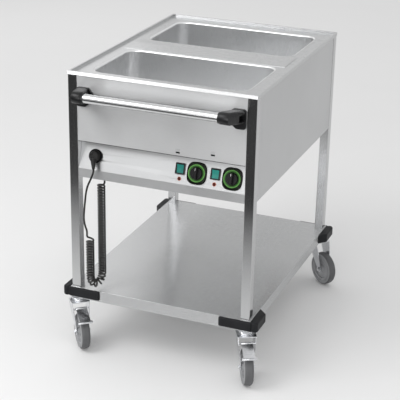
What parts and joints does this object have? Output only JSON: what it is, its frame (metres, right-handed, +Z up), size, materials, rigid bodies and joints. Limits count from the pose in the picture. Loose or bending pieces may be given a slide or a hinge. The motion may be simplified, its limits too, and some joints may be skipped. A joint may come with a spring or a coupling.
{
  "type": "heated serving trolley",
  "caption": "Closed-body heated serving trolley with deep drawn wells, a sloping control panel, a push bar, a lower shelf with corner bumpers and braked swivel casters.",
  "frame": {"origin": "on the floor, below the middle of the whole trolley", "axes": "+Z up, -Y the front with the push bar and controls, +X the right side"},
  "size_m": [0.7488, 0.9804, 0.988],
  "materials": {
    "top_steel": "fine brushed stainless steel",
    "well_steel": "drawn stainless steel, satin",
    "panel_steel": "fine brushed stainless steel",
    "post_steel": "brushed stainless steel tube",
    "shelf_steel": "brushed stainless steel",
    "bumper_plastic": "dark grey moulded plastic",
    "bar_chrome": "polished stainless steel tube",
    "bracket_plastic": "black moulded plastic",
    "screw_zinc": "zinc plated",
    "dial_black": "black, slightly glossy",
    "ring_green": "green printed ring",
    "knob_black": "black moulded plastic",
    "regulator_grey": "plated sheet",
    "switch_black": "black moulded plastic",
    "rocker_teal": "translucent green",
    "lamp_red": "red lens",
    "socket_black": "black moulded plastic",
    "plug_rubber": "black moulded rubber",
    "cord_rubber": "black rubber",
    "heater_steel": "dark heat-tinted tube",
    "valve_brass": "nickel plated brass",
    "lever_red": "red dipped grip",
    "tyre_grey": "grey non-marking rubber",
    "caster_zinc": "bright zinc plated pressed steel"
  },
  "bodies": {
    "trolley": {"top_sheet": "top_steel", "well_bridge": "top_steel", "front_well": "well_steel", "rear_well": "well_steel", "front_panel": "panel_steel", "control_panel": "panel_steel", "left_panel": "panel_steel", "right_panel": "panel_steel", "rear_panel": "panel_steel", "floor_panel": "panel_steel", "post_front_left": "post_steel", "post_front_right": "post_steel", "post_rear_left": "post_steel", "post_rear_right": "post_steel", "shelf": "shelf_steel", "shelf_channels": "shelf_steel", "bumper_front_left": "bumper_plastic", "bumper_front_right": "bumper_plastic", "bumper_rear_left": "bumper_plastic", "bumper_rear_right": "bumper_plastic", "handle_bar": "bar_chrome", "handle_bracket_left": "bracket_plastic", "handle_bracket_right": "bracket_plastic", "handle_screws": "screw_zinc", "dial_plates": "dial_black", "dial_rings": "ring_green", "regulators": "regulator_grey", "switch_frames": "switch_black", "pilot_lamps": "lamp_red", "parking_socket": "socket_black", "plug": "plug_rubber", "cord_lead": "cord_rubber", "cord_curls": "cord_rubber", "cord_tail": "cord_rubber", "cord_gland": "socket_black", "heating_elements": "heater_steel", "drain_valves": "valve_brass", "caster_mounts": "caster_zinc"},
    "fork_front_left": {"fork_front_left": "caster_zinc", "axle_front_left": "caster_zinc"},
    "wheel_front_left": {"wheel_front_left": "tyre_grey"},
    "fork_front_right": {"fork_front_right": "caster_zinc", "axle_front_right": "caster_zinc"},
    "wheel_front_right": {"wheel_front_right": "tyre_grey"},
    "fork_rear_left": {"fork_rear_left": "caster_zinc", "axle_rear_left": "caster_zinc"},
    "wheel_rear_left": {"wheel_rear_left": "tyre_grey"},
    "fork_rear_right": {"fork_rear_right": "caster_zinc", "axle_rear_right": "caster_zinc"},
    "wheel_rear_right": {"wheel_rear_right": "tyre_grey"},
    "brake_pedal_left": {"brake_pedal_left": "caster_zinc"},
    "brake_pedal_right": {"brake_pedal_right": "caster_zinc"},
    "knob_one": {"knob_one": "knob_black"},
    "knob_two": {"knob_two": "knob_black"},
    "rocker_one": {"rocker_one": "rocker_teal"},
    "rocker_two": {"rocker_two": "rocker_teal"},
    "drain_lever_front": {"drain_lever_front": "lever_red"},
    "drain_lever_rear": {"drain_lever_rear": "lever_red"}
  },
  "joints": [
    {"name": "swivel_front_left", "type": "hinge", "parent": "trolley", "child": "fork_front_left", "pos_m": [-0.32704, -0.3792, 0.167], "axis": [0, 0, 1], "continuous": true},
    {"name": "roll_front_left", "type": "hinge", "parent": "fork_front_left", "child": "wheel_front_left", "pos_m": [-0.30146, -0.40863, 0.0625], "axis": [0.7547, 0.6561, 0], "continuous": true},
    {"name": "press_brake_left", "type": "hinge", "parent": "fork_front_left", "child": "brake_pedal_left", "pos_m": [-0.30736, -0.40184, 0.1437], "axis": [0.7547, 0.6561, 0], "range_deg": [0, 8]},
    {"name": "swivel_front_right", "type": "hinge", "parent": "trolley", "child": "fork_front_right", "pos_m": [0.28776, -0.3792, 0.167], "axis": [0, 0, 1], "continuous": true},
    {"name": "roll_front_right", "type": "hinge", "parent": "fork_front_right", "child": "wheel_front_right", "pos_m": [0.30667, -0.41331, 0.0625], "axis": [0.8746, 0.4848, 0], "continuous": true},
    {"name": "press_brake_right", "type": "hinge", "parent": "fork_front_right", "child": "brake_pedal_right", "pos_m": [0.3023, -0.40544, 0.1437], "axis": [0.8746, 0.4848, 0], "range_deg": [0, 8]},
    {"name": "swivel_rear_left", "type": "hinge", "parent": "trolley", "child": "fork_rear_left", "pos_m": [-0.32704, 0.4526, 0.167], "axis": [0, 0, 1], "continuous": true},
    {"name": "roll_rear_left", "type": "hinge", "parent": "fork_rear_left", "child": "wheel_rear_left", "pos_m": [-0.30467, 0.42065, 0.0625], "axis": [0.8192, 0.5736, 0], "continuous": true},
    {"name": "swivel_rear_right", "type": "hinge", "parent": "trolley", "child": "fork_rear_right", "pos_m": [0.28776, 0.4526, 0.167], "axis": [0, 0, 1], "continuous": true},
    {"name": "roll_rear_right", "type": "hinge", "parent": "fork_rear_right", "child": "wheel_rear_right", "pos_m": [0.3189, 0.42913, 0.0625], "axis": [0.6018, 0.7986, 0], "continuous": true},
    {"name": "turn_knob_one", "type": "hinge", "parent": "trolley", "child": "knob_one", "pos_m": [0.10436, -0.38616, 0.70267], "axis": [0, 0.9477, -0.3192], "range_deg": [0, 270]},
    {"name": "turn_knob_two", "type": "hinge", "parent": "trolley", "child": "knob_two", "pos_m": [0.22486, -0.38616, 0.70267], "axis": [0, 0.9477, -0.3192], "range_deg": [0, 270]},
    {"name": "tip_rocker_one", "type": "hinge", "parent": "trolley", "child": "rocker_one", "pos_m": [0.04676, -0.37539, 0.70643], "axis": [-1, 0, 0], "range_deg": [0, 16]},
    {"name": "tip_rocker_two", "type": "hinge", "parent": "trolley", "child": "rocker_two", "pos_m": [0.16726, -0.37539, 0.70643], "axis": [-1, 0, 0], "range_deg": [0, 16]},
    {"name": "turn_drain_front", "type": "hinge", "parent": "trolley", "child": "drain_lever_front", "pos_m": [0.13036, -0.2203, 0.609], "axis": [0, 1, 0], "range_deg": [0, 90]},
    {"name": "turn_drain_rear", "type": "hinge", "parent": "trolley", "child": "drain_lever_rear", "pos_m": [0.13036, 0.2237, 0.609], "axis": [0, 1, 0], "range_deg": [0, 90]}
  ]
}
